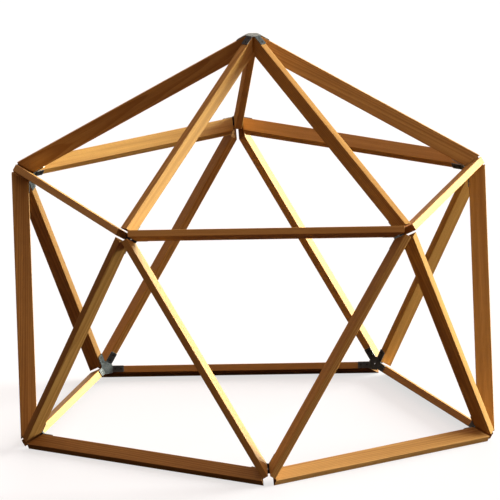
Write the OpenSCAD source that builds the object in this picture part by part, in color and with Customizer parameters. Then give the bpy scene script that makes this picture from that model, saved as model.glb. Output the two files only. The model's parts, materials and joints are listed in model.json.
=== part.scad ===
// Climbing dome: straight timbers of one length along the edges of an icosahedron with its
// lowest corner left off, joined at every corner by a bent steel star plate and wood screws.
// Origin: on the ground, under the crown. +Z is up and -Y is the front.

/* [Dome] */
// Length of every edge of the dome, from hub axis to hub axis
edge_l = 1524; // [900:6:2400]

/* [Timbers] */
// Width of a timber, across its narrow faces
timber_w = 38.1; // [30:0.1:46]
// Depth of a timber, towards the middle of the dome
timber_d = 88.9; // [60:0.1:140]
// Chamfer along the four long edges of a timber
timber_ease = 2; // [0.5:0.5:4]
// Gap between the corners of neighbouring timbers at a hub
corner_gap = 10; // [4:0.5:30]

/* [Hub plates] */
// Thickness of the plate steel
plate_t = 5; // [3:0.5:8]
// Length of a plate arm, from its bend to its end
arm_l = 62; // [54:1:100]
// Set-back of a plate arm's edges from the sides of its timber
arm_inset = 0.6; // [0:0.1:4]
// Corner radius at the end of a plate arm
arm_corner_r = 4; // [1:0.5:8]
// Diameter of the hole in the middle of every plate
hub_hole_d = 5.5; // [4:0.5:20]

/* [Screws] */
// Diameter of a screw's shank
screw_d = 5; // [4:0.5:6]
// Diameter of a screw's countersunk head
head_d = 10; // [8:0.5:13]
// Length of a screw, head included
screw_l = 45; // [30:1:70]
// Distance from the bend to the first screw
first_hole = 14.5; // [12:0.5:24]
// Distance between the two screws of an arm
hole_pitch = 31.5; // [16:0.5:34]
// Distance across the flats of the hexagon socket in a screw head
socket_af = 4; // [3:0.5:5]
// Depth of the hexagon socket
socket_depth = 1.6; // [1:0.2:2.2]

/* [Clearances] */
// Radial clearance of a screw in its holes
hole_clear = 0.2; // [0.1:0.05:0.5]
// How far a screw head sits below the plate's surface
head_sink = 0.3; // [0:0.1:0.6]
// Clearance past a screw's tip in its pilot hole
tip_clear = 1; // [0.5:0.5:4]
// Wood left between a screw and a bevelled timber end
end_cover = 2; // [1:0.5:6]

/* [Hidden] */
$fn = 48;

// Colours of the two finishes
WOOD = [0.55, 0.34, 0.17];
STEEL = [0.2, 0.22, 0.23];

// A cut reaches this far past the face that it opens
over = 0.5;

// Icosahedron: a fifth of a turn between like pieces, and the angle between an edge and the
// plane square to the hub axis at its end, whose tangent is one over the golden ratio
fifth = 72;
dip = atan((sqrt(5) - 1) / 2);
// Distance of the edge centres and of the hubs from the middle of the dome
mid_r = edge_l / 2 / tan(dip);
hub_r = mid_r / cos(dip);
// Angle from the crown down to the upper ring of hubs
ring_angle = 2 * dip;
// First hub of the upper ring, and first hub of the base ring, which stands at the front
ring_start = -54;
base_start = -90;
// The hub behind the crown, whose plate lies outside the timbers like the crown's
OUTSIDE_RING = 3;

// Height of the middle of the dome above the ground on which the base timbers' edges stand
centre_z = hub_r * cos(ring_angle) + timber_d / 2 * sin(dip) + timber_w / 2 * cos(dip)
    - timber_ease * sin(dip);

// Distance of a timber's bevelled end from the hub axis, which leaves corner_gap between corners
end_r = (timber_w / 2 * cos(fifth / 2) + corner_gap / 2) / sin(fifth / 2);
// Width of a plate arm, and the socket and head sizes that follow from the screw
arm_w = timber_w - 2 * arm_inset;
head_h = (head_d - screw_d) / 2;
hole_r = screw_d / 2 + hole_clear;
socket_r = socket_af / 2 / cos(30);
HOLES = [first_hole, first_hole + hole_pitch];

// Half-length of a timber at a distance from its centre line, positive away from the dome's middle
function half_l(depth) = (mid_r + depth) * tan(dip) - end_r / cos(dip);
// Height along a hub axis, from the dome's middle, of the plate's seat outside (1) or inside (-1)
function seat_r(side) = (mid_r + side * timber_d / 2) / cos(dip) - end_r * tan(dip);
// How far a screw reaches into its timber: its own length, or less where the bevel comes first
function bite(side, along) = side > 0
    ? min(screw_l - plate_t, (along * cos(dip) - screw_d / 2 - end_cover) / sin(dip))
    : screw_l - plate_t;
// The side on which a hub's plate lies
function ring_side(hub) = hub == OUTSIDE_RING ? 1 : -1;
// The next of five like pieces
function next_of_five(i) = i % 5 + 1;

// Places a child made at a hub: +Z along the hub's axis, +X down the dome
module at_hub(azimuth, angle) {
    translate([0, 0, centre_z])
        rotate([0, 0, azimuth])
            rotate([0, angle, 0])
                children();
}

// Places a child on an arm of a hub: +X along the arm from its bend, +Z away from the timber
module on_arm(turn, side) {
    rotate([0, 0, turn])
        translate([end_r, 0, seat_r(side)])
            rotate([0, dip, 0])
                mirror([0, 0, side > 0 ? 0 : 1])
                    children();
}

// Side view of a timber: both ends are cut parallel to the axes of their hubs
module timber_profile() {
    outer = half_l(timber_d / 2);
    inner = half_l(-timber_d / 2);
    polygon([
        [-outer, timber_d / 2],
        [-inner, -timber_d / 2],
        [inner, -timber_d / 2],
        [outer, timber_d / 2]
    ]);
}

// Cross-section of a timber, with its long edges eased
module timber_section() {
    half_w = timber_w / 2;
    half_d = timber_d / 2;
    polygon([
        for (x = [-1, 1], y = [-x, x])
            let (on_face = [x * (half_w - timber_ease), y * half_d])
            let (on_side = [x * half_w, y * (half_d - timber_ease)])
            each x * y < 0 ? [on_face, on_side] : [on_side, on_face]
    ]);
}

// The two pilot holes at one end (1 or -1) of a timber, in its outer (1) or inner (-1) face
module pilot_holes(end, side) {
    for (along = HOLES)
        translate([end * (half_l(side * timber_d / 2) - along), 0, side * timber_d / 2])
            mirror([0, 0, side > 0 ? 1 : 0])
                translate([0, 0, -over])
                    cylinder(h = over + bite(side, along) + tip_clear, r = hole_r);
}

// One timber on its edge of the dome: angle from the crown to its middle, and its turn about
// the line from the dome's middle. side_a and side_b are the plate sides at its -X and +X ends.
module timber(azimuth, angle, turn, side_a, side_b) {
    color(WOOD)
        at_hub(azimuth, angle)
            translate([0, 0, mid_r])
                rotate([0, 0, turn])
                    difference() {
                        intersection() {
                            rotate([90, 0, 0])
                                linear_extrude(timber_w, center = true)
                                    timber_profile();
                            rotate([90, 0, 90])
                                linear_extrude(edge_l, center = true)
                                    timber_section();
                        }
                        pilot_holes(-1, side_a);
                        pilot_holes(1, side_b);
                    }
}

module crown_strut(i) {
    timber(ring_start + fifth * (i - 1), dip, 0, 1, ring_side(i));
}

module ring_strut(i) {
    timber(ring_start + fifth * (i - 0.5), 90 - dip, 90, ring_side(i), ring_side(next_of_five(i)));
}

// Odd ones lean one way and even ones the other, two to each hub of the upper ring
module lattice_strut(i) {
    hub = ceil(i / 2);
    lean = i % 2 == 0 ? 1 : -1;
    timber(ring_start + fifth * (hub - 1) + lean * fifth / 4, 90, lean * dip, ring_side(hub), -1);
}

module base_strut(i) {
    timber(base_start + fifth * (i - 0.5), 90 + dip, 90, -1, -1);
}

// Flat outline of a plate arm, from its bend to its rounded corners
module arm_outline() {
    corner = arm_l - arm_corner_r;
    edge = arm_w / 2 - arm_corner_r;
    polygon(concat(
        [[0, -arm_w / 2]],
        [for (a = [-90:15:0]) [corner + arm_corner_r * cos(a), -edge + arm_corner_r * sin(a)]],
        [for (a = [0:15:90]) [corner + arm_corner_r * cos(a), edge + arm_corner_r * sin(a)]],
        [[0, arm_w / 2]]
    ));
}

// Metal on the outside of an arm's bend, where the plate lies outside the timbers. Its last
// point lies inside the pentagon, so that the two join.
module bend_fill() {
    rotate([90, 0, 0])
        linear_extrude(arm_w, center = true)
            polygon(concat(
                [[0, 0]],
                [for (k = [0:4]) plate_t * [-sin(dip * k / 4), cos(dip * k / 4)]],
                [plate_t * [-cos(dip) - sin(dip) / 2, cos(dip) / 2 - sin(dip)]]
            ));
}

// Screw hole through an arm with its countersink
module arm_hole() {
    sink_h = head_h + head_sink + over;
    translate([0, 0, -over])
        cylinder(h = plate_t + 2 * over, r = hole_r);
    translate([0, 0, plate_t + over - sink_h])
        cylinder(h = sink_h, r1 = hole_r, r2 = hole_r + sink_h);
}

// Star plate at a hub: a pentagon with one bent arm on each timber there
module star_plate(first_turn, arms, side) {
    color(STEEL)
        difference() {
            union() {
                translate([0, 0, seat_r(side) - (side > 0 ? 0 : plate_t)])
                    rotate([0, 0, first_turn + fifth / 2])
                        cylinder(h = plate_t, r = end_r / cos(fifth / 2), $fn = 5);
                for (i = [0:arms - 1])
                    on_arm(first_turn + fifth * i, side) {
                        linear_extrude(plate_t)
                            arm_outline();
                        if (side > 0)
                            bend_fill();
                    }
            }
            translate([0, 0, seat_r(side) - plate_t - over])
                cylinder(h = 2 * (plate_t + over), r = hub_hole_d / 2);
            for (i = [0:arms - 1], along = HOLES)
                on_arm(first_turn + fifth * i, side)
                    translate([along, 0, 0])
                        arm_hole();
        }
}

// One countersunk wood screw, with its seat's plane at z = 0 and its tip down in the wood
module screw(reach) {
    top = plate_t - head_sink;
    tip_h = screw_d;
    difference() {
        rotate_extrude()
            polygon([
                [0, -reach],
                [screw_d / 10, -reach],
                [screw_d / 2, tip_h - reach],
                [screw_d / 2, top - head_h],
                [head_d / 2, top],
                [0, top]
            ]);
        translate([0, 0, top - socket_depth])
            cylinder(h = socket_depth + over, r = socket_r, $fn = 6);
    }
}

// All the screws of one hub
module hub_screws(first_turn, arms, side) {
    color(STEEL)
        for (i = [0:arms - 1], along = HOLES)
            on_arm(first_turn + fifth * i, side)
                translate([along, 0, 0])
                    screw(bite(side, along));
}

module crown_plate() {
    at_hub(0, 0)
        star_plate(ring_start, 5, 1);
}

module crown_screws() {
    at_hub(0, 0)
        hub_screws(ring_start, 5, 1);
}

module ring_plate(i) {
    at_hub(ring_start + fifth * (i - 1), ring_angle)
        star_plate(fifth / 2, 5, ring_side(i));
}

module ring_screws(i) {
    at_hub(ring_start + fifth * (i - 1), ring_angle)
        hub_screws(fifth / 2, 5, ring_side(i));
}

// A base hub has no timber below it, so its plate has four arms
module base_plate(i) {
    at_hub(base_start + fifth * (i - 1), 180 - ring_angle)
        star_plate(fifth, 4, -1);
}

module base_screws(i) {
    at_hub(base_start + fifth * (i - 1), 180 - ring_angle)
        hub_screws(fifth, 4, -1);
}

crown_plate();
crown_screws();
for (i = [1:5]) {
    crown_strut(i);
    ring_strut(i);
    base_strut(i);
    ring_plate(i);
    base_plate(i);
    ring_screws(i);
    base_screws(i);
}
for (i = [1:10]) {
    lattice_strut(i);
}
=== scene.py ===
"""Looks of a climbing dome: eased timbers, bent star plates and wood screws in a pale studio."""

import json
import math
import random

import bmesh
import bpy
from bpy.props import FloatProperty, FloatVectorProperty, IntProperty, PointerProperty
from mathutils import Matrix, Vector


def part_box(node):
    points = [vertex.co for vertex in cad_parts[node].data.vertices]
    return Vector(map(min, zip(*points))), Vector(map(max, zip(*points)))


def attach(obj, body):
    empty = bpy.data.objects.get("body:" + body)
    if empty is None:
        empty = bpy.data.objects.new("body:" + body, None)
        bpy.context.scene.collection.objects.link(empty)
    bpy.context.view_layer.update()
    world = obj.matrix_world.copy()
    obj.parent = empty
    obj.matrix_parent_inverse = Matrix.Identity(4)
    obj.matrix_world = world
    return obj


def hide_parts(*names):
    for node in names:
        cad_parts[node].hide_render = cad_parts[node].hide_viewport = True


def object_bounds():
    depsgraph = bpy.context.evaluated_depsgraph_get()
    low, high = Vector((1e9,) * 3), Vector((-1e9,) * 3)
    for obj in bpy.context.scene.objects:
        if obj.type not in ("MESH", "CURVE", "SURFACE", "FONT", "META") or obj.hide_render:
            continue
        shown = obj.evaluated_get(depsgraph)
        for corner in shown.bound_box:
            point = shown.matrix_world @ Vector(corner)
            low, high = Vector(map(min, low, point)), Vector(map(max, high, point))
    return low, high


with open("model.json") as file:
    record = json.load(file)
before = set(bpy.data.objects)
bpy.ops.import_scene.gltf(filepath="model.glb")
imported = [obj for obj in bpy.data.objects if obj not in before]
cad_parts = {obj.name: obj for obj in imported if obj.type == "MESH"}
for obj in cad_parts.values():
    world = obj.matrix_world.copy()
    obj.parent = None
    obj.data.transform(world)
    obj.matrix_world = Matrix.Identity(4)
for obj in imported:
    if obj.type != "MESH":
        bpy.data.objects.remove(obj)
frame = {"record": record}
CAD_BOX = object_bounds()

bl_info = {
    "name": "Climbing Dome",
    "version": (1, 0, 0),
    "blender": (4, 5, 0),
    "location": "View3D > Sidebar > Dome",
    "description": "Builds the timbers, star plates and screws of a climbing dome, and its studio",
    "category": "Add Mesh",
}

BODY = "root"

# Icosahedron: a fifth of a turn between like pieces, and the angle between an edge and the
# plane square to the hub axis at its end
FIFTH = math.radians(72)
DIP = math.atan((math.sqrt(5) - 1) / 2)
RING_ANGLE = 2 * DIP
RING_START = math.radians(-54)
BASE_START = math.radians(-90)
OUTSIDE_RING = 3
ARMS = 5
ARMS_AT_BASE = 4

# How finely round shapes are divided, and the angle from which an edge is sharp
HUB_HOLE_SIDES = 40
SCREW_HOLE_SIDES = 28
PILOT_SIDES = 12
SCREW_SIDES = 24
FLOOR_SIDES = 48
CORNER_STEPS = 3
SHARP_ANGLE = math.radians(40)

# Strength of the plain reflections of wood and metal, which are dull
SPECULAR = 0.12

# Noise cells per metre: along the grain and twice across it, and on the metals along X, Y and Z
WAVE_CELLS = (1.1, 8, 8)
DRIFT_CELLS = (0.25, 14, 14)
FIBRE_CELLS = (9, 620, 620)
STREAK_CELLS = (1.3, 46, 46)
FLECK_CELLS = (55, 1500, 1500)
SCRATCH_CELLS = (30, 700, 420)

# Sockets of a Mix node that mixes colours
MIX_FACTOR, MIX_A, MIX_B, MIX_RESULT = 0, 6, 7, 2

# Sizes read from the frame: one timber of the waist faces along X, and one of the crown lies
# in the plane X = 0
waist_low, waist_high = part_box("lattice_strut_3")
crown_low, crown_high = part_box("crown_strut_3")
plate_low, plate_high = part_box("crown_plate")
TIMBER_D = waist_high.x - waist_low.x
TIMBER_W = crown_high.x - crown_low.x
MID_R = (waist_low.x + waist_high.x) / 2
CENTRE_Z = (waist_low.z + waist_high.z) / 2
END_R = crown_low.y


def half_length(depth):
    """Half the length of a timber at a distance from its centre line, positive outwards."""
    return (MID_R + depth) * math.tan(DIP) - END_R / math.cos(DIP)


def seat_height(side):
    """Height along a hub's axis of the plate's seat, outside (1) or inside (-1) the timbers."""
    return (MID_R + side * TIMBER_D / 2) / math.cos(DIP) - END_R * math.tan(DIP)


PLATE_T = plate_high.z - CENTRE_Z - seat_height(1)
ARM_L = (plate_high.z - plate_low.z - PLATE_T) / math.sin(DIP)
HUB_HOLE_R = next(
    m["dims"]["r_mm"] / 1000 for m in frame["record"]["mounts"] if m["name"] == "crown_hole"
)


# Settings

def length(name, description, default, low=0.0, high=10.0):
    """A distance that the user can change."""
    return FloatProperty(
        name=name, description=description, default=default, min=low, max=high,
        precision=4, subtype="DISTANCE", unit="LENGTH",
    )


def share(name, description, default, high=1.0):
    """A plain number from zero up."""
    return FloatProperty(
        name=name, description=description, default=default, min=0, max=high, subtype="FACTOR"
    )


def colour(name, description, default):
    """A linear colour."""
    return FloatVectorProperty(
        name=name, description=description, default=default, min=0, max=4, subtype="COLOR"
    )


def turn(name, description, degrees):
    """An angle."""
    return FloatProperty(
        name=name, description=description, default=math.radians(degrees),
        subtype="ANGLE", unit="ROTATION",
    )


class TimberSettings(bpy.types.PropertyGroup):
    """Edges, grain and stain of the timbers."""

    ease: length("Edge Rounding", "Radius along the long edges of a timber", 0.003)
    end_ease: length("End Easing", "Chamfer round the bevelled ends", 0.0012)
    ring_gap: length("Ring Spacing", "Distance between two growth rings", 0.0065)
    pith_near: length("Nearest Pith", "Least distance of a timber from the middle of its log", 0.07)
    pith_far: length("Farthest Pith", "Greatest distance from the middle of the log", 0.16)
    early: colour("Early Wood", "Stained colour between the rings", (0.560, 0.318, 0.093))
    late: colour("Late Wood", "Stained colour of the rings", (0.360, 0.172, 0.045))
    end: colour("End Grain", "Stain soaked into the cut ends", (0.250, 0.110, 0.028))
    seed: IntProperty(name="Seed", description="Start of the timbers' random choices", default=7)


class PlateSettings(bpy.types.PropertyGroup):
    """Bends, holes and coating of the star plates."""

    bend_r: length("Bend Radius", "Radius inside the bend of a plate", 0.003)
    edge: length("Edge Break", "Chamfer round the cut edges of a plate", 0.0005)
    inset: length("Arm Set-back", "Distance of an arm's edges from the sides of its timber", 0.0006)
    corner_r: length("Arm Corner Radius", "Radius of the corners at an arm's end", 0.004)
    tip_cut: length("Tip Trim", "Length trimmed off each corner of the pentagon", 0.002)
    first_hole: length("First Hole", "Distance from the bend to the first screw", 0.0145)
    pitch: length("Hole Pitch", "Distance between the two screws of an arm", 0.0315)
    coat: colour("Coating", "Colour of the dark coating", (0.052, 0.068, 0.081))
    bare: colour("Bare Steel", "Colour where the coating has rubbed off", (0.38, 0.385, 0.38))
    mouth_wear: share("Mouth Wear", "How far the mouths of the screw holes are rubbed", 0.04)


class ScrewSettings(bpy.types.PropertyGroup):
    """Shape and finish of the wood screws."""

    shank: length("Shank Diameter", "Diameter of the shank", 0.005)
    head: length("Head Diameter", "Diameter of the countersunk head", 0.010)
    long: length("Length", "Length of a screw, head included", 0.045)
    clearance: length("Clearance", "Radial clearance in the holes", 0.0002)
    sink: length("Head Sink", "How far a head sits below the plate's surface", 0.0003)
    socket: length("Socket Size", "Distance across the flats of the hexagon socket", 0.004)
    socket_depth: length("Socket Depth", "Depth of the hexagon socket", 0.0016)
    tip_clear: length("Tip Clearance", "Depth of a pilot hole past its screw's tip", 0.001)
    cover: length("End Cover", "Wood left between a screw and a bevelled timber end", 0.002)
    pitch: length("Thread Pitch", "Distance between two turns of the thread", 0.0024)
    zinc: colour("Plating", "Colour of the plated steel", (0.018, 0.019, 0.020))
    head_wear: share("Head Wear", "How far the edges of a head are rubbed", 0.06)


class StudioSettings(bpy.types.PropertyGroup):
    """Floor, lamps and camera."""

    floor_r: length("Floor Radius", "Radius of the floor", 60.0, high=500)
    floor: colour("Floor", "Colour of the pale floor", (0.22, 0.22, 0.264))
    glow: colour("Floor Glow", "Light that the floor adds for the camera", (0.690, 0.682, 0.674))
    bounce: colour("Floor Bounce", "Floor colour as the dome sees it", (0.053, 0.028, 0.032))
    azimuth: turn("View Azimuth", "Turn of the camera round the dome", -3.7053)
    elevation: turn("View Elevation", "Height of the camera above the horizon", 14.4924)
    width: length("View Width", "Width that the camera takes in", 2.6935)
    aim_right: length("Frame Right", "Middle of the frame, right of the box", -0.0160, low=-5)
    aim_up: length("Frame Up", "Middle of the frame, above the box's middle", -0.1098, low=-5)
    sun_azimuth: turn("Key Azimuth", "Direction of the key lamp, from +X towards +Y", 25)
    sun_elevation: turn("Key Elevation", "Height of the key lamp above the horizon", 11)
    sun_spread: turn("Key Spread", "Angle that the key lamp's face takes up", 40)
    sun_power: share("Key Power", "Strength of the key lamp", 14.4, high=100)
    sun_colour: colour("Key Colour", "Colour of the key lamp", (0.98, 1.0, 0.83))
    back_power: share("Back Panel Power", "Strength of the panel behind the dome", 6.0, high=10)
    back_colour: colour("Back Panel Colour", "Colour of the panel", (0.8, 0.72, 0.60))
    sky_power: share("Fill Power", "Strength of the light from all round", 1.0, high=10)
    sky_colour: colour("Fill Colour", "Colour of the light from all round", (0.66, 0.45, 0.36))


# Node helpers

class Board:
    """A node tree being wired."""

    def __init__(self, tree):
        self.tree = tree
        self.output = None

    def add(self, kind, inputs=(), **settings):
        """Adds a shader node, sets it up, and links or sets its inputs."""
        node = self.tree.nodes.new("ShaderNode" + kind)
        for key, value in settings.items():
            setattr(node, key, value)
        for key, value in dict(inputs).items():
            self.feed(node.inputs[key], value)
        return node

    def feed(self, socket, value):
        """Links a socket, or sets its value."""
        if isinstance(value, bpy.types.NodeSocket):
            self.tree.links.new(value, socket)
        else:
            socket.default_value = value

    def math(self, operation, a, b=0.0, clamp=False):
        """One Math node's result."""
        node = self.add("Math", {0: a, 1: b}, operation=operation, use_clamp=clamp)
        return node.outputs[0]

    def stretch(self, vector, factors):
        """A vector multiplied axis by axis."""
        node = self.add("VectorMath", {0: vector, 1: factors}, operation="MULTIPLY")
        return node.outputs[0]

    def noise(self, vector, scale=1.0, detail=2.0, rough=0.5, distort=0.0):
        """Noise from 0 to 1."""
        node = self.add("TexNoise", {
            "Vector": vector, "Scale": scale, "Detail": detail,
            "Roughness": rough, "Distortion": distort,
        })
        return node.outputs["Fac"]

    def ramp(self, value, low, high, to_low=0.0, to_high=1.0, smooth=True):
        """A value mapped from one range to another."""
        node = self.add("MapRange", {
            "Value": value, "From Min": low, "From Max": high,
            "To Min": to_low, "To Max": to_high,
        }, interpolation_type="SMOOTHSTEP" if smooth else "LINEAR")
        return node.outputs[0]

    def mix(self, a, b, factor):
        """Two colours mixed."""
        node = self.add("Mix", {MIX_FACTOR: factor, MIX_A: a, MIX_B: b}, data_type="RGBA")
        return node.outputs[MIX_RESULT]

    def attribute(self, name):
        """A mesh attribute's node."""
        return self.add("Attribute", attribute_name=name)

    def group(self, tree, **inputs):
        """A node group's node, with its sockets fed by name."""
        node = self.add("Group", node_tree=tree)
        for key, value in inputs.items():
            self.feed(node.inputs[key.replace("_", " ").title()], value)
        return node


def opaque(rgb, factor=1.0):
    """A colour times a factor, with full alpha."""
    return (rgb[0] * factor, rgb[1] * factor, rgb[2] * factor, 1.0)


def new_group(name, inputs, outputs):
    """A shader node group with named sockets: its board, its input node and its output node."""
    group = bpy.data.node_groups.new(name, "ShaderNodeTree")
    for label, kind, default in inputs:
        socket = group.interface.new_socket(
            name=label, in_out="INPUT", socket_type="NodeSocket" + kind
        )
        if default is not None:
            socket.default_value = default
    for label, kind in outputs:
        group.interface.new_socket(
            name=label, in_out="OUTPUT", socket_type="NodeSocket" + kind
        )
    board = Board(group)
    source = group.nodes.new("NodeGroupInput")
    sink = group.nodes.new("NodeGroupOutput")
    return board, source, sink


def grain_group():
    """Growth rings, fibres and broad streaks of sawn softwood."""
    name = "Timber Grain"
    if name in bpy.data.node_groups:
        return bpy.data.node_groups[name]
    board, source, sink = new_group(
        name,
        [("Place", "Vector", None), ("Ring Spacing", "Float", 0.006), ("Waviness", "Float", 0.004)],
        [("Rings", "Float"), ("Fibres", "Float"), ("Streaks", "Float"), ("Flecks", "Float")],
    )
    place = source.outputs["Place"]
    across = board.stretch(place, (0, 1, 1))
    radius = board.add("VectorMath", {0: across}, operation="LENGTH").outputs["Value"]
    wave = board.noise(board.stretch(place, WAVE_CELLS), detail=2)
    wave = board.math("MULTIPLY", board.math("SUBTRACT", wave, 0.5), source.outputs["Waviness"])
    drift = board.noise(board.stretch(place, DRIFT_CELLS), detail=1)
    count = board.math("DIVIDE", board.math("ADD", radius, wave), source.outputs["Ring Spacing"])
    count = board.math("FRACT", board.math("ADD", count, board.math("MULTIPLY", drift, 3.0)))
    rise = board.ramp(count, 0.25, 0.9)
    fall = board.ramp(count, 0.92, 1.0, 1.0, 0.0)
    board.feed(sink.inputs["Rings"], board.math("MULTIPLY", rise, fall))
    fibre = board.noise(board.stretch(place, FIBRE_CELLS), detail=3, rough=0.6)
    board.feed(sink.inputs["Fibres"], fibre)
    streak = board.noise(board.stretch(place, STREAK_CELLS), detail=4, rough=0.55)
    board.feed(sink.inputs["Streaks"], streak)
    fleck = board.noise(board.stretch(place, FLECK_CELLS), detail=1)
    board.feed(sink.inputs["Flecks"], board.ramp(fleck, 0.62, 0.74))
    return board.tree


def patches_group():
    """Soft clouds, a fine skin and sparse scratches on a coated or plated surface."""
    name = "Metal Patches"
    if name in bpy.data.node_groups:
        return bpy.data.node_groups[name]
    board, source, sink = new_group(
        name,
        [("Place", "Vector", None), ("Cloud Scale", "Float", 40.0), ("Skin Scale", "Float", 900.0)],
        [("Clouds", "Float"), ("Skin", "Float"), ("Scratches", "Float")],
    )
    place = source.outputs["Place"]
    board.feed(sink.inputs["Clouds"], board.noise(place, source.outputs["Cloud Scale"], 4, 0.6))
    board.feed(sink.inputs["Skin"], board.noise(place, source.outputs["Skin Scale"], 2))
    line = board.noise(board.stretch(place, SCRATCH_CELLS), detail=2, distort=0.4)
    board.feed(sink.inputs["Scratches"], board.ramp(line, 0.66, 0.72))
    return board.tree


def edge_wear_and_highlight_group():
    """Where an edge is rubbed, and on the timbers also painted lighter as a highlight: a mesh mask
    broken up by noise.
    """
    name = "Rubbed Edges"
    if name in bpy.data.node_groups:
        return bpy.data.node_groups[name]
    board, source, sink = new_group(
        name,
        [("Edge", "Float", 0.0), ("Place", "Vector", None), ("Scale", "Float", 60.0),
         ("Amount", "Float", 0.5)],
        [("Mask", "Float")],
    )
    spots = board.noise(source.outputs["Place"], source.outputs["Scale"], 4, 0.65)
    limit = board.math("SUBTRACT", 1.0, source.outputs["Amount"])
    shown = board.math("SUBTRACT", board.math("ADD", spots, 0.25), limit)
    shown = board.math("MULTIPLY", shown, 4.0, clamp=True)
    mask = board.math("MULTIPLY", shown, source.outputs["Edge"], clamp=True)
    board.feed(sink.inputs["Mask"], mask)
    return board.tree


def new_material(name):
    """A new material, its board and its surface shader, which feeds the board's output."""
    material = bpy.data.materials.new(name)
    material.use_nodes = True
    tree = material.node_tree
    tree.nodes.clear()
    board = Board(tree)
    surface = board.add("BsdfPrincipled")
    board.output = board.add("OutputMaterial", {"Surface": surface.outputs[0]})
    return material, board, surface


def stained_timber(settings):
    """Softwood under a warm brown stain and a thin satin varnish."""
    material, board, surface = new_material("Stained Timber")
    place = board.attribute("wood_place").outputs["Vector"]
    tone = board.attribute("wood_tone").outputs["Fac"]
    end = board.attribute("end_grain").outputs["Fac"]
    edge = board.attribute("wood_edge").outputs["Fac"]

    grain = board.group(grain_group(), place=place, ring_spacing=settings.ring_gap, waviness=0.012)
    rings, fibres = grain.outputs["Rings"], grain.outputs["Fibres"]
    streaks, flecks = grain.outputs["Streaks"], grain.outputs["Flecks"]

    early, late = opaque(settings.early), opaque(settings.late)
    # The lighter edge colour stands for rubbed wear and also for a painted highlight along the
    # eased edges
    pale_streak, rubbed_and_highlit_edge = opaque(settings.early, 1.22), opaque(settings.early, 1.35)
    dark_fibre, dark_fleck = opaque(settings.late, 0.62), opaque(settings.late, 0.5)
    wood = board.mix(early, late, board.math("MULTIPLY", rings, 0.75))
    wood = board.mix(wood, late, board.ramp(streaks, 0.42, 0.72, 0.0, 0.55))
    wood = board.mix(wood, pale_streak, board.ramp(streaks, 0.46, 0.24, 0.0, 0.5))
    wood = board.mix(wood, dark_fibre, board.ramp(fibres, 0.5, 0.8, 0.0, 0.45))
    wood = board.mix(wood, dark_fleck, board.math("MULTIPLY", flecks, 0.35))
    wood = board.mix(wood, opaque(settings.end), board.math("MULTIPLY", end, 0.75))
    toned = board.add("HueSaturation", {
        "Color": wood,
        "Value": board.ramp(tone, 0.0, 1.0, 0.84, 1.12, smooth=False),
        "Hue": board.ramp(tone, 0.0, 1.0, 0.494, 0.506, smooth=False),
    })
    # Eased edges painted lighter: partly rubbed wear, partly a painted highlight
    wear = board.group(
        edge_wear_and_highlight_group(), edge=edge, place=board.stretch(place, (0.25, 1, 1)), scale=45.0, amount=0.5
    )
    rubbed = board.math("MULTIPLY", wear.outputs["Mask"], 0.4)
    board.feed(surface.inputs["Base Color"], board.mix(toned.outputs[0], rubbed_and_highlit_edge, rubbed))

    gloss = board.math("ADD", board.math("MULTIPLY", fibres, 0.22), 0.42)
    gloss = board.math("ADD", gloss, board.math("MULTIPLY", end, 0.2), clamp=True)
    board.feed(surface.inputs["Roughness"], gloss)
    surface.inputs["Specular IOR Level"].default_value = SPECULAR
    surface.inputs["Coat Roughness"].default_value = 0.35
    board.feed(surface.inputs["Coat Weight"], board.ramp(end, 0.0, 1.0, 0.03, 0.0))

    fibre_height = board.math("MULTIPLY", fibres, 0.6)
    height = board.math("ADD", fibre_height, board.math("MULTIPLY", rings, 0.35))
    height = board.math("SUBTRACT", height, board.math("MULTIPLY", flecks, 0.3))
    bump = board.add("Bump", {"Height": height, "Strength": 0.35, "Distance": 0.0006})
    board.feed(surface.inputs["Normal"], bump.outputs[0])
    return material


def metal_finish(name, base, bare, metallic, rough, cloud, wear_amount, grit_depth, coat):
    """Coated or plated steel that is rubbed bright along its edges."""
    material, board, surface = new_material(name)
    place = board.add("TexCoord").outputs["Object"]
    patches = board.group(patches_group(), place=place, cloud_scale=cloud)
    clouds, grit = patches.outputs["Clouds"], patches.outputs["Skin"]
    wear = board.group(
        edge_wear_and_highlight_group(), edge=board.attribute("rim").outputs["Fac"], place=place,
        scale=130.0, amount=wear_amount,
    )
    scratched = board.math("MULTIPLY", patches.outputs["Scratches"], 0.25)
    mask = board.math("MAXIMUM", wear.outputs["Mask"], scratched)

    tinted = board.mix(opaque(base, 0.72), opaque(base, 1.3), board.ramp(clouds, 0.3, 0.7))
    tinted = board.mix(tinted, opaque(base, 0.8), board.ramp(grit, 0.45, 0.75, 0.0, 0.5))
    board.feed(surface.inputs["Base Color"], board.mix(tinted, opaque(bare), mask))
    bared = board.ramp(mask, 0.0, 1.0, metallic, 1.0, smooth=False)
    board.feed(surface.inputs["Metallic"], bared)
    gloss = board.math("ADD", board.math("MULTIPLY", clouds, 0.2), rough - 0.1)
    gloss = board.math("SUBTRACT", gloss, board.math("MULTIPLY", mask, 0.08), clamp=True)
    board.feed(surface.inputs["Roughness"], gloss)
    surface.inputs["Specular IOR Level"].default_value = SPECULAR
    surface.inputs["Coat Weight"].default_value = coat
    surface.inputs["Coat Roughness"].default_value = 0.3
    bump = board.add("Bump", {"Height": grit, "Strength": 0.3, "Distance": grit_depth})
    board.feed(surface.inputs["Normal"], bump.outputs[0])
    return material


# Mesh helpers

def at_hub(azimuth, angle):
    """Placement at a hub: +Z along the hub's axis, +X down the dome."""
    return (
        Matrix.Translation((0, 0, CENTRE_Z))
        @ Matrix.Rotation(azimuth, 4, "Z")
        @ Matrix.Rotation(angle, 4, "Y")
    )


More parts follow.
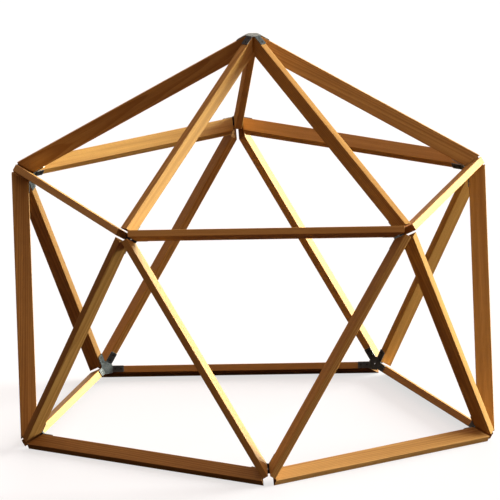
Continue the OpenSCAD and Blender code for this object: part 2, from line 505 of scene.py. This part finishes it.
def on_arm(turn_z, side):
    """Placement on a hub's arm: +X along the arm from its bend, +Z away from the timber."""
    flip = Matrix.Diagonal((1, 1, side, 1))
    return (
        Matrix.Rotation(turn_z, 4, "Z")
        @ Matrix.Translation((END_R, 0, seat_height(side)))
        @ Matrix.Rotation(DIP, 4, "Y")
        @ flip
    )


def ring_side(hub):
    """The side of the timbers on which the plate of an upper hub lies."""
    return 1 if hub == OUTSIDE_RING else -1


def hubs():
    """Every hub: its name ending, placement, first arm's turn, number of arms and side."""
    yield "crown_{}", at_hub(0, 0), RING_START, ARMS, 1
    for i in range(1, 6):
        place = at_hub(RING_START + FIFTH * (i - 1), RING_ANGLE)
        yield f"ring_{{}}_{i}", place, FIFTH / 2, ARMS, ring_side(i)
    for i in range(1, 6):
        place = at_hub(BASE_START + FIFTH * (i - 1), math.pi - RING_ANGLE)
        yield f"base_{{}}_{i}", place, FIFTH, ARMS_AT_BASE, -1


def timbers():
    """Every timber: CAD node, azimuth, angle from the crown, turn, and plate side at each end."""
    for i in range(1, 6):
        yield f"crown_strut_{i}", RING_START + FIFTH * (i - 1), DIP, 0, 1, ring_side(i)
    for i in range(1, 6):
        sides = ring_side(i), ring_side(i % 5 + 1)
        yield (f"ring_strut_{i}", RING_START + FIFTH * (i - 0.5), math.pi / 2 - DIP, math.pi / 2,
               *sides)
    for i in range(1, 11):
        hub, lean = (i + 1) // 2, 1 if i % 2 == 0 else -1
        azimuth = RING_START + FIFTH * (hub - 1) + lean * FIFTH / 4
        yield f"lattice_strut_{i}", azimuth, math.pi / 2, lean * DIP, ring_side(hub), -1
    for i in range(1, 6):
        yield (f"base_strut_{i}", BASE_START + FIFTH * (i - 0.5), math.pi / 2 + DIP, math.pi / 2,
               -1, -1)


def loop_edges(bm, verts):
    """The edges of a closed loop of vertices."""
    pairs = zip(verts, verts[1:] + verts[:1])
    return [bm.edges.get(pair) or bm.edges.new(pair) for pair in pairs]


def fill(bm, outline, holes=()):
    """A flat face with holes in it."""
    edges = loop_edges(bm, outline)
    for ring in holes:
        edges += loop_edges(bm, ring)
    bmesh.ops.triangle_fill(bm, use_beauty=True, use_dissolve=False, edges=edges)


def skin(bm, loops):
    """Quads between closed loops that have the same number of vertices."""
    for near, far in zip(loops, loops[1:]):
        count = len(near)
        for i in range(count):
            j = (i + 1) % count
            bm.faces.new((near[i], near[j], far[j], far[i]))


def lathe_rings(bm, place, profile, count):
    """One ring of vertices for each (radius, height) of a profile."""
    rings = []
    for radius, height in profile:
        rings.append([
            bm.verts.new(place @ Vector((
                radius * math.cos(2 * math.pi * k / count),
                radius * math.sin(2 * math.pi * k / count),
                height,
            )))
            for k in range(count)
        ])
    return rings


def finish_piece(name, bm, material, node):
    """Turns a mesh into a piece that rides on the frame in the place of a CAD node."""
    bmesh.ops.recalc_face_normals(bm, faces=bm.faces)
    mesh = bpy.data.meshes.new(name)
    bm.to_mesh(mesh)
    bm.free()
    mesh.shade_smooth()
    mesh.set_sharp_from_angle(angle=SHARP_ANGLE)
    mesh.materials.append(material)
    piece = bpy.data.objects.new(name, mesh)
    bpy.context.scene.collection.objects.link(piece)
    weighted = piece.modifiers.new("Face Normals", "WEIGHTED_NORMAL")
    weighted.keep_sharp = True
    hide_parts(node)
    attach(piece, BODY)
    return piece


# Timbers

GRAIN_SHIFT = 60  # the most that a timber's grain is moved along it
GRAIN_LEAN = 0.02  # the most that the grain drifts across a timber in each metre


def eased_section(width, depth, radius):
    """Cross-section of a timber with rounded corners, and how far each point is round a corner."""
    points = []
    for corner in range(4):
        side_y = 1 if corner in (0, 3) else -1
        side_z = 1 if corner < 2 else -1
        for k in range(CORNER_STEPS + 1):
            angle = math.radians(90 * (corner + k / CORNER_STEPS))
            points.append((
                side_y * (width / 2 - radius) + radius * math.cos(angle),
                side_z * (depth / 2 - radius) + radius * math.sin(angle),
                0.0 if k in (0, CORNER_STEPS) else 1.0,
            ))
    return points


def reach_of(side, along, screws):
    """How far a screw goes into its timber, less where the bevelled end comes first."""
    full = screws.long - PLATE_T
    if side < 0:
        return full
    room = along * math.cos(DIP) - screws.shank / 2 - screws.cover
    return min(full, room / math.sin(DIP))


def timber_vert(bm, x, y, z, end=0.0, edge=0.0):
    """A vertex with its place in the wood and its shares of end grain and of rounded edge."""
    layers = bm.verts.layers
    vert = bm.verts.new((x, y, z))
    vert[layers.float_vector["wood_place"]] = Vector((x, y, z))
    vert[layers.float["end_grain"]] = end
    vert[layers.float["wood_edge"]] = edge
    return vert


def timber_ends(bm, settings):
    """The bevelled ends of a timber with their chamfers, and the ring where each end starts."""
    cut = settings.end_ease
    section = eased_section(TIMBER_W, TIMBER_D, settings.ease)
    cap = eased_section(TIMBER_W - 2 * cut, TIMBER_D - 2 * cut, settings.ease - cut)
    rings = {}
    for end in (-1, 1):
        face = [timber_vert(bm, end * half_length(z), y, z, end=1.0) for y, z, _ in cap]
        rings[end] = [
            timber_vert(bm, end * (half_length(z) - cut), y, z, edge=edge)
            for y, z, edge in section
        ]
        skin(bm, [face, rings[end]])
        bm.faces.new(face)
    return rings


def pilot_hole(bm, end, side, along, screws):
    """The blind hole for a screw under a plate, and the ring of vertices round its mouth."""
    where = bm.verts.layers.float_vector["wood_place"]
    surface = side * TIMBER_D / 2
    spot = Matrix.Translation((end * (half_length(surface) - along), 0, surface))
    spot = spot @ Matrix.Diagonal((1, 1, side, 1))
    radius = screws.shank / 2 + screws.clearance
    reach = reach_of(side, along, screws) + screws.tip_clear
    profile = [(radius, 0), (radius, -reach), (radius / 3, -reach - radius / 2)]
    rings = lathe_rings(bm, spot, profile, PILOT_SIDES)
    skin(bm, rings)
    bm.faces.new(rings[-1])
    for ring in rings:
        for vert in ring:
            vert[where] = vert.co
    return rings[0]


def build_timber(bm, place, side_a, side_b, settings, plates, screws):
    """One timber, in its place, with the pilot holes under its plates."""
    layers = bm.verts.layers
    layers.float_vector.new("wood_place")
    layers.float.new("end_grain")
    layers.float.new("wood_edge")
    rings = timber_ends(bm, settings)
    count = len(rings[1])
    # The first point of the flat strip on the outside and on the inside of the section
    flats = {CORNER_STEPS: 1, 3 * CORNER_STEPS + 2: -1}
    for i in range(count):
        j = (i + 1) % count
        strip = [rings[-1][i], rings[-1][j], rings[1][j], rings[1][i]]
        mouths = [
            pilot_hole(bm, end, side, along, screws)
            for end, side in ((-1, side_a), (1, side_b)) if side == flats.get(i)
            for along in screw_places(plates)
        ]
        if mouths:
            fill(bm, strip, mouths)
        else:
            bm.faces.new(strip)
    bm.transform(place)


def screw_places(plates):
    """Distances from the bend of the two screws of an arm."""
    return plates.first_hole, plates.first_hole + plates.pitch


class DOME_OT_timbers(bpy.types.Operator):
    """Build the twenty-five timbers of the dome"""

    bl_idname = "dome.timbers"
    bl_label = "Timbers"

    def execute(self, context):
        scene = context.scene
        settings = scene.dome_timbers
        material = stained_timber(settings)
        chance = random.Random(settings.seed)
        for node, azimuth, angle, turn_z, side_a, side_b in timbers():
            bm = bmesh.new()
            place = (
                at_hub(azimuth, angle)
                @ Matrix.Translation((0, 0, MID_R))
                @ Matrix.Rotation(turn_z, 4, "Z")
            )
            build_timber(bm, place, side_a, side_b, settings, scene.dome_plates, scene.dome_screws)
            piece = finish_piece(node.replace("strut", "timber"), bm, material, node)
            self.cut_from_log(piece.data, settings, chance)
        return {"FINISHED"}

    @staticmethod
    def cut_from_log(mesh, settings, chance):
        """Places the timber in its own log, so that its grain differs from the others'."""
        shift = chance.uniform(0, GRAIN_SHIFT)
        off = chance.uniform(settings.pith_near, settings.pith_far)
        round_log = chance.uniform(0, 2 * math.pi)
        lean_y, lean_z = (chance.uniform(-GRAIN_LEAN, GRAIN_LEAN) for _ in range(2))
        tone = chance.random()
        place = mesh.attributes["wood_place"].data
        for item in place:
            x, y, z = item.vector
            item.vector = (
                x + shift,
                y + off * math.cos(round_log) + lean_y * x,
                z + off * math.sin(round_log) + lean_z * x,
            )
        tones = mesh.attributes.new("wood_tone", "FLOAT", "POINT")
        tones.data.foreach_set("value", [tone] * len(mesh.vertices))


# Star plates

class PlateShape:
    """Outline and bend of a star plate, in arm coordinates (distance from the axis, offset)."""

    bends = 4
    corner_steps = 5

    def __init__(self, side, settings):
        self.top = PLATE_T if side > 0 else 0.0
        self.bottom = self.top - PLATE_T
        self.seat_bend_r = settings.bend_r + (0.0 if side > 0 else PLATE_T)
        self.take_up = self.seat_bend_r * math.tan(DIP / 2)
        self.bend_start = END_R - self.take_up
        self.half_w = TIMBER_W / 2 - settings.inset
        self.corner_r = settings.corner_r
        self.tip = self.bend_start * math.tan(FIFTH / 2) - settings.tip_cut

    def unrolled(self, along):
        """Flat distance from the axis of a point on an arm, given its distance from the bend."""
        return self.bend_start + self.seat_bend_r * DIP + along - self.take_up

    def bent(self, flat, across, height):
        """Where a point of the flat star comes to once its arm is bent."""
        if flat <= self.bend_start:
            return Vector((flat, across, height))
        angle = min((flat - self.bend_start) / self.seat_bend_r, DIP)
        rest = max(flat - self.bend_start - self.seat_bend_r * DIP, 0.0)
        radius = height + self.seat_bend_r
        return Vector((
            self.bend_start + radius * math.sin(angle) + rest * math.cos(angle),
            across,
            radius * math.cos(angle) - self.seat_bend_r - rest * math.sin(angle),
        ))

    def arm_side(self, sign):
        """Points along one side of an arm, from the pentagon to the end of the bend."""
        arc = self.seat_bend_r * DIP
        return [
            (self.bend_start + arc * k / self.bends, sign * self.half_w)
            for k in range(self.bends + 1)
        ]

    def arm_end(self):
        """The two rounded corners at an arm's end."""
        points = []
        for sign, start in ((-1, -90), (1, 0)):
            for k in range(self.corner_steps + 1):
                angle = math.radians(start + 90 * k / self.corner_steps)
                points.append((
                    self.unrolled(ARM_L - self.corner_r) + self.corner_r * math.cos(angle),
                    sign * (self.half_w - self.corner_r) + self.corner_r * math.sin(angle),
                ))
        return points


def inward(points, distance):
    """Offset of each point of a closed outline towards its inside."""
    count = len(points)
    moved = []
    for i, here in enumerate(points):
        before, after = points[i - 1], points[(i + 1) % count]
        into = (here - before).normalized()
        out_of = (after - here).normalized()
        left_in, left_out = Vector((-into.y, into.x)), Vector((-out_of.y, out_of.x))
        moved.append(here + (left_in + left_out) * distance / (1 + left_in.dot(left_out)))
    return moved


def star_outline(shape, arms):
    """Outline of the flat star, as (arm, distance, offset), and where its parts lie in it.

    The parts are both sides of each arm's bend, each arm's end, and the line round the middle.
    """
    outline, sides, ends, middle = [], [], [], []
    bend_points = shape.bends + 1
    end_points = 2 * (shape.corner_steps + 1)
    for arm in range(ARMS):
        if arm < arms:
            right = [len(outline) + k for k in range(bend_points)]
            outline += [(arm, *p) for p in shape.arm_side(-1)]
            tip = [len(outline) + k for k in range(end_points)]
            outline += [(arm, *p) for p in shape.arm_end()]
            left = [len(outline) + k for k in range(bend_points)][::-1]
            outline += [(arm, *p) for p in shape.arm_side(1)[::-1]]
            sides.append((right, left))
            ends.append(tip)
            middle += [right[0], left[0]]
        middle += [len(outline), len(outline) + 1]
        outline.append((arm, shape.bend_start, shape.tip))
        outline.append(((arm + 1) % ARMS, shape.bend_start, -shape.tip))
    return outline, sides, ends, middle


def star_rim(bm, shape, outline, turns, edge):
    """The cut edge of a bent star with its chamfers: its loops from the top to the bottom."""
    rim = bm.verts.layers.float["rim"]
    full = [
        Vector((flat, across)) @ Matrix.Rotation(-turns[arm], 2) for arm, flat, across in outline
    ]
    inset = inward(full, edge)
    loops = []
    for points, height, wear in (
        (inset, shape.top, 0.0), (full, shape.top - edge, 1.0),
        (full, shape.bottom + edge, 1.0), (inset, shape.bottom, 0.0),
    ):
        loop = []
        for (arm, _, _), point in zip(outline, points):
            local = point @ Matrix.Rotation(turns[arm], 2)
            spot = shape.bent(local.x, local.y, height)
            vert = bm.verts.new(Matrix.Rotation(turns[arm], 3, "Z") @ spot)
            vert[rim] = wear
            loop.append(vert)
        loops.append(loop)
    skin(bm, loops)
    return loops


def hub_hole(bm, free, seat, edge):
    """The hole in the middle of a plate: its mouths in the free face and in the seat."""
    rim = bm.verts.layers.float["rim"]
    inwards = math.copysign(edge, seat - free)
    rings = lathe_rings(bm, Matrix.Identity(4), [
        (HUB_HOLE_R + edge, free), (HUB_HOLE_R, free + inwards),
        (HUB_HOLE_R, seat - inwards), (HUB_HOLE_R + edge, seat),
    ], HUB_HOLE_SIDES)
    skin(bm, rings)
    for ring in rings[1:3]:
        for vert in ring:
            vert[rim] = 1.0
    return rings[0], rings[-1]


def screw_hole(bm, spot, settings, screws):
    """A countersunk hole in a plate: its mouths in the free face and in the seat."""
    rim = bm.verts.layers.float["rim"]
    hole_r = screws.shank / 2 + screws.clearance
    mouth_r = hole_r + (screws.head - screws.shank) / 2 + screws.sink
    step = settings.edge / 2
    rings = lathe_rings(bm, spot, [
        (mouth_r + step, PLATE_T), (mouth_r - step, PLATE_T - step),
        (hole_r, PLATE_T - mouth_r + hole_r), (hole_r, step), (hole_r + step, 0.0),
    ], SCREW_HOLE_SIDES)
    skin(bm, rings)
    for vert in rings[1]:
        vert[rim] = settings.mouth_wear
    return rings[0], rings[-1]


def build_plate(bm, place, first_turn, arms, side, settings, screws):
    """One star plate, in its place."""
    bm.verts.layers.float.new("rim")
    shape = PlateShape(side, settings)
    turns = [first_turn + FIFTH * k for k in range(ARMS)]
    outline, sides, ends, middle = star_outline(shape, arms)
    loops = star_rim(bm, shape, outline, turns, settings.edge)

    # Mouths of the holes by the height of the face that they are in
    free, seat = (shape.top, shape.bottom) if side > 0 else (shape.bottom, shape.top)
    hub_mouths = dict(zip((free, seat), hub_hole(bm, free, seat, settings.edge)))
    lift = Matrix.Translation((0, 0, -seat_height(side)))
    arm_mouths = []
    for turn_z in turns[:arms]:
        mouths = {free: [], seat: []}
        for along in screw_places(settings):
            spot = lift @ on_arm(turn_z, side) @ Matrix.Translation((along, 0, 0))
            free_mouth, seat_mouth = screw_hole(bm, spot, settings, screws)
            mouths[free].append(free_mouth)
            mouths[seat].append(seat_mouth)
        arm_mouths.append(mouths)

    # The two faces: a pentagon, and on each arm a bend and a flat
    for height, loop in ((shape.top, loops[0]), (shape.bottom, loops[-1])):
        fill(bm, [loop[i] for i in middle], [hub_mouths[height]])
        for (right, left), tip, mouths in zip(sides, ends, arm_mouths):
            for k in range(shape.bends):
                corners = right[k], right[k + 1], left[k + 1], left[k]
                bm.faces.new([loop[i] for i in corners])
            border = [right[-1], *tip, left[-1]]
            fill(bm, [loop[i] for i in border], mouths[height])
    bm.transform(place @ Matrix.Translation((0, 0, seat_height(side))))


class DOME_OT_star_plates(bpy.types.Operator):
    """Build the eleven star plates"""

    bl_idname = "dome.star_plates"
    bl_label = "Star Plates"

    def execute(self, context):
        scene = context.scene
        settings = scene.dome_plates
        material = metal_finish(
            "Dark Coated Steel", settings.coat, settings.bare,
            metallic=0.12, rough=0.55, cloud=38, wear_amount=0.42, grit_depth=0.00012, coat=0.05,
        )
        for name, place, first_turn, arms, side in hubs():
            bm = bmesh.new()
            build_plate(bm, place, first_turn, arms, side, settings, scene.dome_screws)
            finish_piece(
                name.format("star_plate"), bm, material, name.format("plate")
            )
        return {"FINISHED"}


# Screws

HEAD_LIP = 0.0002  # chamfer on the edges of a head
PLAIN_SHANK = 0.006  # length under the head that has no thread
THREAD_CORE = 0.68  # radius between the ridges, as a share of the shank's
THREAD_ROWS = 4  # rows of vertices in each pitch
RIDGE_HALF = 0.25  # half of the share of a pitch that the ridge takes


def hexagon_ring(bm, place, inner_r, height):
    """A ring of vertices along a hexagon, given the radius of the circle inside it."""
    ring = []
    for k in range(SCREW_SIDES):
        angle = 2 * math.pi * k / SCREW_SIDES
        from_flat = (angle + math.pi / 6) % (math.pi / 3) - math.pi / 6
        radius = inner_r / math.cos(from_flat)
        spot = Vector((radius * math.cos(angle), radius * math.sin(angle), height))
        ring.append(bm.verts.new(place @ spot))
    return ring


def screw_head(bm, place, settings):
    """The socket, head and plain shank of a screw: the shank's last ring and its height."""
    rim = bm.verts.layers.float["rim"]
    top = PLATE_T - settings.sink
    head_r, shank_r, socket_r = settings.head / 2, settings.shank / 2, settings.socket / 2
    under = top - (head_r - shank_r)
    floor_z = top - settings.socket_depth
    socket = [
        hexagon_ring(bm, place, socket_r * 0.55, floor_z - socket_r * 0.3),
        hexagon_ring(bm, place, socket_r, floor_z),
        hexagon_ring(bm, place, socket_r, top - HEAD_LIP),
        hexagon_ring(bm, place, socket_r + HEAD_LIP, top),
    ]
    head = lathe_rings(bm, place, [
        (head_r - 2 * HEAD_LIP, top), (head_r - HEAD_LIP / 2, top - HEAD_LIP / 2),
        (head_r - HEAD_LIP, top - 2 * HEAD_LIP), (shank_r, under), (shank_r, under - PLAIN_SHANK),
    ], SCREW_SIDES)
    skin(bm, socket + head)
    bm.faces.new(socket[0])
    for ring in (socket[3], head[1]):
        for vert in ring:
            vert[rim] = settings.head_wear
    return head[-1], under - PLAIN_SHANK


def screw_thread(bm, place, first, start, reach, settings):
    """The threaded shank and its point, from the ring where the plain shank ends."""
    shank_r, tip_h = settings.shank / 2, settings.shank
    low = -reach + tip_h
    rows = round((start + reach - tip_h) / settings.pitch * THREAD_ROWS)
    rings = [first]
    for row in range(1, rows + 1):
        height = start + (low - start) * row / rows
        ring = []
        for k in range(SCREW_SIDES):
            # The ridge takes half of each pitch, and climbs once round in it
            angle = 2 * math.pi * k / SCREW_SIDES
            phase = (height / settings.pitch - k / SCREW_SIDES) % 1.0
            ridge = max(0.0, 1 - abs(phase - 0.5) / RIDGE_HALF)
            radius = shank_r * (THREAD_CORE + (1 - THREAD_CORE) * ridge)
            spot = Vector((radius * math.cos(angle), radius * math.sin(angle), height))
            ring.append(bm.verts.new(place @ spot))
        rings.append(ring)
    point = [(shank_r * 0.45, low - tip_h / 2), (shank_r * 0.1, -reach)]
    rings += lathe_rings(bm, place, point, SCREW_SIDES)
    skin(bm, rings)
    bm.faces.new(rings[-1])


def build_screw(bm, place, reach, settings):
    """One countersunk screw with a hexagon socket, its seat's plane at z = 0."""
    last, height = screw_head(bm, place, settings)
    screw_thread(bm, place, last, height, reach, settings)


class DOME_OT_screws(bpy.types.Operator):
    """Build the hundred wood screws, one piece for each hub"""

    bl_idname = "dome.screws"
    bl_label = "Screws"

    def execute(self, context):
        scene = context.scene
        settings = scene.dome_screws
        material = metal_finish(
            "Plated Screw Steel", settings.zinc, scene.dome_plates.bare,
            metallic=0.3, rough=0.46, cloud=220, wear_amount=0.5, grit_depth=0.00004, coat=0.0,
        )
        for name, place, first_turn, arms, side in hubs():
            bm = bmesh.new()
            bm.verts.layers.float.new("rim")
            for arm in range(arms):
                for along in screw_places(scene.dome_plates):
                    spot = place @ on_arm(first_turn + FIFTH * arm, side)
                    spot = spot @ Matrix.Translation((along, 0, 0))
                    build_screw(bm, spot, reach_of(side, along, settings), settings)
            finish_piece(
                name.format("screw_set"), bm, material, name.format("screws")
            )
        return {"FINISHED"}


# Studio

FLOOR_RINGS = (2.0, 8.0)  # radii of the floor's inner rings of vertices
FILL_LEAN = (0.53, 0.36, 0.44)  # how the fill grows along X, Y and Z
FILL_LEVEL = 0.62  # strength of the fill square to that direction
PANEL_WAY = (0.06, 0.93, 0.36)  # direction of the back panel
PANEL_EDGE = (0.955, 0.985)  # where the panel starts and is full, as products with that way
CAMERA_AWAY = 20  # distance of the camera from the middle of the dome's box


class DOME_OT_studio(bpy.types.Operator):
    """Build the pale floor, the lamps and the camera"""

    bl_idname = "dome.studio"
    bl_label = "Studio"

    def execute(self, context):
        scene = context.scene
        settings = scene.dome_studio
        self.lay_floor(scene, settings)
        self.hang_key(scene, settings)
        self.light_all_round(scene, settings)
        self.aim_camera(scene, settings)
        scene.view_settings.view_transform = "Standard"
        scene.view_settings.look = "None"
        scene.view_settings.exposure = 0.0
        scene.view_settings.gamma = 1.0
        return {"FINISHED"}

    @staticmethod
    def lay_floor(scene, settings):
        """A round floor that looks pale to the camera and throws little light back up."""
        bm = bmesh.new()
        profile = [(radius, 0) for radius in (*FLOOR_RINGS, settings.floor_r)]
        rings = lathe_rings(bm, Matrix.Identity(4), profile, FLOOR_SIDES)
        skin(bm, rings)
        bm.faces.new(rings[0])
        bmesh.ops.recalc_face_normals(bm, faces=bm.faces)
        mesh = bpy.data.meshes.new("studio_floor")
        bm.to_mesh(mesh)
        bm.free()
        floor = bpy.data.objects.new("studio_floor", mesh)
        scene.collection.objects.link(floor)

        material, board, surface = new_material("Pale Floor")
        cloud = board.noise(board.add("TexCoord").outputs["Object"], 0.7, 3)
        pale = board.mix(opaque(settings.floor, 0.97), opaque(settings.floor), cloud)
        board.feed(surface.inputs["Base Color"], pale)
        surface.inputs["Roughness"].default_value = 0.9
        surface.inputs["Specular IOR Level"].default_value = 0.1
        glow = board.add("Emission", {"Color": opaque(settings.glow), "Strength": 1.0})
        lit = board.add("AddShader", {0: surface.outputs[0], 1: glow.outputs[0]})
        dull = board.add("BsdfDiffuse", {"Color": opaque(settings.bounce)})
        seen = board.add("LightPath").outputs["Is Camera Ray"]
        mixed = board.add("MixShader", {0: seen, 1: dull.outputs[0], 2: lit.outputs[0]})
        board.feed(board.output.inputs["Surface"], mixed.outputs[0])
        mesh.materials.append(material)

    @staticmethod
    def hang_key(scene, settings):
        """A broad key lamp, low on the right and behind the dome."""
        lamp = bpy.data.lights.new("key_lamp", "SUN")
        lamp.energy = settings.sun_power
        lamp.angle = settings.sun_spread
        lamp.color = settings.sun_colour
        key = bpy.data.objects.new("key_lamp", lamp)
        scene.collection.objects.link(key)
        azimuth, elevation = settings.sun_azimuth, settings.sun_elevation
        towards = Vector((
            math.cos(azimuth) * math.cos(elevation),
            math.sin(azimuth) * math.cos(elevation),
            math.sin(elevation),
        ))
        key.rotation_mode = "QUATERNION"
        key.rotation_quaternion = towards.to_track_quat("Z", "Y")

    @staticmethod
    def light_all_round(scene, settings):
        """Fill that grows towards the right and the back, a bright panel, and a white backdrop."""
        world = bpy.data.worlds.new("Studio Fill")
        world.use_nodes = True
        tree = world.node_tree
        tree.nodes.clear()
        board = Board(tree)
        way = board.add("TexCoord").outputs["Generated"]
        lean = board.add("VectorMath", {0: way, 1: FILL_LEAN}, operation="DOT_PRODUCT")
        level = board.math("ADD", lean.outputs["Value"], FILL_LEVEL)
        level = board.math("MAXIMUM", level, 0.0)
        behind = board.add("VectorMath", {0: way, 1: PANEL_WAY}, operation="DOT_PRODUCT")
        panel = board.ramp(behind.outputs["Value"], *PANEL_EDGE, 0.0, settings.back_power)
        level = board.math("ADD", level, panel)
        in_panel = board.math("MINIMUM", panel, 1.0)
        fill_light = board.add("Background", {
            "Color": board.mix(opaque(settings.sky_colour), opaque(settings.back_colour), in_panel),
            "Strength": board.math("MULTIPLY", level, settings.sky_power),
        })
        seen = board.add("Background", {"Color": (1, 1, 1, 1), "Strength": 1.0})
        ray = board.add("LightPath").outputs["Is Camera Ray"]
        mixed = board.add("MixShader", {0: ray, 1: fill_light.outputs[0], 2: seen.outputs[0]})
        board.add("OutputWorld", {"Surface": mixed.outputs[0]})
        scene.world = world

    @staticmethod
    def aim_camera(scene, settings):
        """A camera without perspective, as a very long lens sees."""
        azimuth, elevation = settings.azimuth, settings.elevation
        back = Vector((
            math.sin(azimuth) * math.cos(elevation),
            -math.cos(azimuth) * math.cos(elevation),
            math.sin(elevation),
        ))
        data = bpy.data.cameras.new("camera")
        data.type = "ORTHO"
        data.ortho_scale = settings.width
        data.shift_x = settings.aim_right / settings.width
        data.shift_y = settings.aim_up / settings.width
        data.clip_end = 100
        camera = bpy.data.objects.new("camera", data)
        camera.location = (CAD_BOX[0] + CAD_BOX[1]) / 2 + back * CAMERA_AWAY
        camera.rotation_mode = "QUATERNION"
        camera.rotation_quaternion = (-back).to_track_quat("-Z", "Y")
        scene.collection.objects.link(camera)
        scene.camera = camera


class DOME_PT_panel(bpy.types.Panel):
    """Sizes and colours of the dome, and the buttons that build it"""

    bl_idname = "DOME_PT_panel"
    bl_label = "Climbing Dome"
    bl_space_type = "VIEW_3D"
    bl_region_type = "UI"
    bl_category = "Dome"

    def draw(self, context):
        for operator, group in BUILD_STEPS:
            box = self.layout.box()
            box.operator(operator.bl_idname)
            settings = getattr(context.scene, group)
            for key in settings.__annotations__:
                box.prop(settings, key)


BUILD_STEPS = (
    (DOME_OT_timbers, "dome_timbers"),
    (DOME_OT_star_plates, "dome_plates"),
    (DOME_OT_screws, "dome_screws"),
    (DOME_OT_studio, "dome_studio"),
)
SETTINGS = {
    "dome_timbers": TimberSettings,
    "dome_plates": PlateSettings,
    "dome_screws": ScrewSettings,
    "dome_studio": StudioSettings,
}
CLASSES = (*SETTINGS.values(), *(operator for operator, _ in BUILD_STEPS), DOME_PT_panel)


def register():
    """Registers the classes and hangs the settings on the scene."""
    for cls in CLASSES:
        bpy.utils.register_class(cls)
    for key, group in SETTINGS.items():
        setattr(bpy.types.Scene, key, PointerProperty(type=group))


def unregister():
    """Takes the settings and the classes away again."""
    for key in SETTINGS:
        delattr(bpy.types.Scene, key)
    for cls in reversed(CLASSES):
        bpy.utils.unregister_class(cls)


def main():
    register()
    bpy.ops.dome.timbers()
    bpy.ops.dome.star_plates()
    bpy.ops.dome.screws()
    bpy.ops.dome.studio()


if __name__ == "__main__":
    main()
